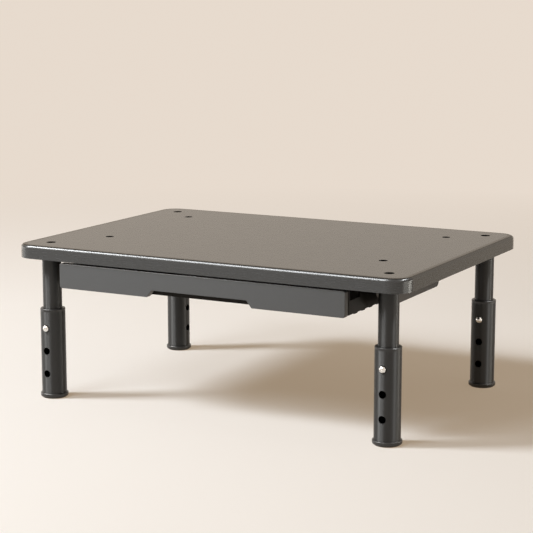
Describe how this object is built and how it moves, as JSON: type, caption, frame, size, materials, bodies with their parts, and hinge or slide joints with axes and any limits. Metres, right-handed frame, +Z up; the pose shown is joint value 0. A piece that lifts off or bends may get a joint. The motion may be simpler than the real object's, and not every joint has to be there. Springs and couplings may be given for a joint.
{
  "type": "laptop stand with drawer",
  "caption": "Low rectangular stand on telescopic legs with snap buttons, and a shallow drawer that slides out under the deck by a finger notch.",
  "frame": {"origin": "on the floor under the middle of the deck", "axes": "+X to the right of somebody facing the drawer, -Y the way the drawer opens, +Z up"},
  "size_m": [0.38, 0.268, 0.1425],
  "materials": {
    "deck_paint": "satin warm charcoal powder coat",
    "front_paint": "satin charcoal powder coat",
    "runner_paint": "satin charcoal powder coat",
    "tube_paint": "satin charcoal powder coat with a soft sheen",
    "collar_plastic": "satin black moulding",
    "foot_plastic": "satin black moulding",
    "tray_plastic": "fine matte charcoal moulding",
    "rubber": "matte",
    "nylon": "smooth black nylon",
    "spigot_steel": "satin charcoal powder coat",
    "bright_steel": "zinc plated",
    "button_steel": "polished",
    "spring_steel": "oiled spring steel",
    "black_screw": "black oxide"
  },
  "bodies": {
    "platform": {"top_deck": "deck_paint", "leg_spigot_front_left": "spigot_steel", "inner_tube_front_left": "tube_paint", "tube_plug_front_left": "bright_steel", "glide_ring_front_left": "nylon", "button_spring_front_left": "spring_steel", "leg_spigot_front_right": "spigot_steel", "inner_tube_front_right": "tube_paint", "tube_plug_front_right": "bright_steel", "glide_ring_front_right": "nylon", "button_spring_front_right": "spring_steel", "leg_spigot_rear_left": "spigot_steel", "inner_tube_rear_left": "tube_paint", "tube_plug_rear_left": "bright_steel", "glide_ring_rear_left": "nylon", "button_spring_rear_left": "spring_steel", "leg_spigot_rear_right": "spigot_steel", "inner_tube_rear_right": "tube_paint", "tube_plug_rear_right": "bright_steel", "glide_ring_rear_right": "nylon", "button_spring_rear_right": "spring_steel", "leg_screws": "black_screw", "runner_left": "runner_paint", "runner_right": "runner_paint", "glide_strip_left": "nylon", "glide_strip_right": "nylon", "runner_screws": "black_screw", "runner_nuts": "bright_steel"},
    "leg_front_left": {"outer_tube_front_left": "tube_paint", "collar_bush_front_left": "collar_plastic", "foot_cap_front_left": "foot_plastic", "foot_pad_front_left": "rubber"},
    "button_front_left": {"snap_button_front_left": "button_steel"},
    "leg_front_right": {"outer_tube_front_right": "tube_paint", "collar_bush_front_right": "collar_plastic", "foot_cap_front_right": "foot_plastic", "foot_pad_front_right": "rubber"},
    "button_front_right": {"snap_button_front_right": "button_steel"},
    "leg_rear_left": {"outer_tube_rear_left": "tube_paint", "collar_bush_rear_left": "collar_plastic", "foot_cap_rear_left": "foot_plastic", "foot_pad_rear_left": "rubber"},
    "button_rear_left": {"snap_button_rear_left": "button_steel"},
    "leg_rear_right": {"outer_tube_rear_right": "tube_paint", "collar_bush_rear_right": "collar_plastic", "foot_cap_rear_right": "foot_plastic", "foot_pad_rear_right": "rubber"},
    "button_rear_right": {"snap_button_rear_right": "button_steel"},
    "drawer": {"drawer_tray": "tray_plastic", "drawer_front": "front_paint", "drawer_front_screws": "bright_steel"}
  },
  "joints": [
    {"name": "leg_slide_front_left", "type": "slide", "parent": "platform", "child": "leg_front_left", "axis": [0, 0, 1], "range_m": [0, 0.042], "deforming": ["snap_button_front_left"]},
    {"name": "leg_slide_front_right", "type": "slide", "parent": "platform", "child": "leg_front_right", "axis": [0, 0, 1], "range_m": [0, 0.042], "deforming": ["snap_button_front_right"]},
    {"name": "leg_slide_rear_left", "type": "slide", "parent": "platform", "child": "leg_rear_left", "axis": [0, 0, 1], "range_m": [0, 0.042], "deforming": ["snap_button_rear_left"]},
    {"name": "leg_slide_rear_right", "type": "slide", "parent": "platform", "child": "leg_rear_right", "axis": [0, 0, 1], "range_m": [0, 0.042], "deforming": ["snap_button_rear_right"]},
    {"name": "button_press_front_left", "type": "slide", "parent": "platform", "child": "button_front_left", "axis": [0, 1, 0], "range_m": [0, 0.004], "stiffness_N_per_m": 3000, "springref_m": -0.001, "deforming": ["button_spring_front_left"]},
    {"name": "button_press_front_right", "type": "slide", "parent": "platform", "child": "button_front_right", "axis": [0, 1, 0], "range_m": [0, 0.004], "stiffness_N_per_m": 3000, "springref_m": -0.001, "deforming": ["button_spring_front_right"]},
    {"name": "button_press_rear_left", "type": "slide", "parent": "platform", "child": "button_rear_left", "axis": [-1, 0, 0], "range_m": [0, 0.004], "stiffness_N_per_m": 3000, "springref_m": -0.001, "deforming": ["button_spring_rear_left"]},
    {"name": "button_press_rear_right", "type": "slide", "parent": "platform", "child": "button_rear_right", "axis": [0, 1, 0], "range_m": [0, 0.004], "stiffness_N_per_m": 3000, "springref_m": -0.001, "deforming": ["button_spring_rear_right"]},
    {"name": "drawer_slide", "type": "slide", "parent": "platform", "child": "drawer", "axis": [0, -1, 0], "range_m": [0, 0.11]}
  ]
}
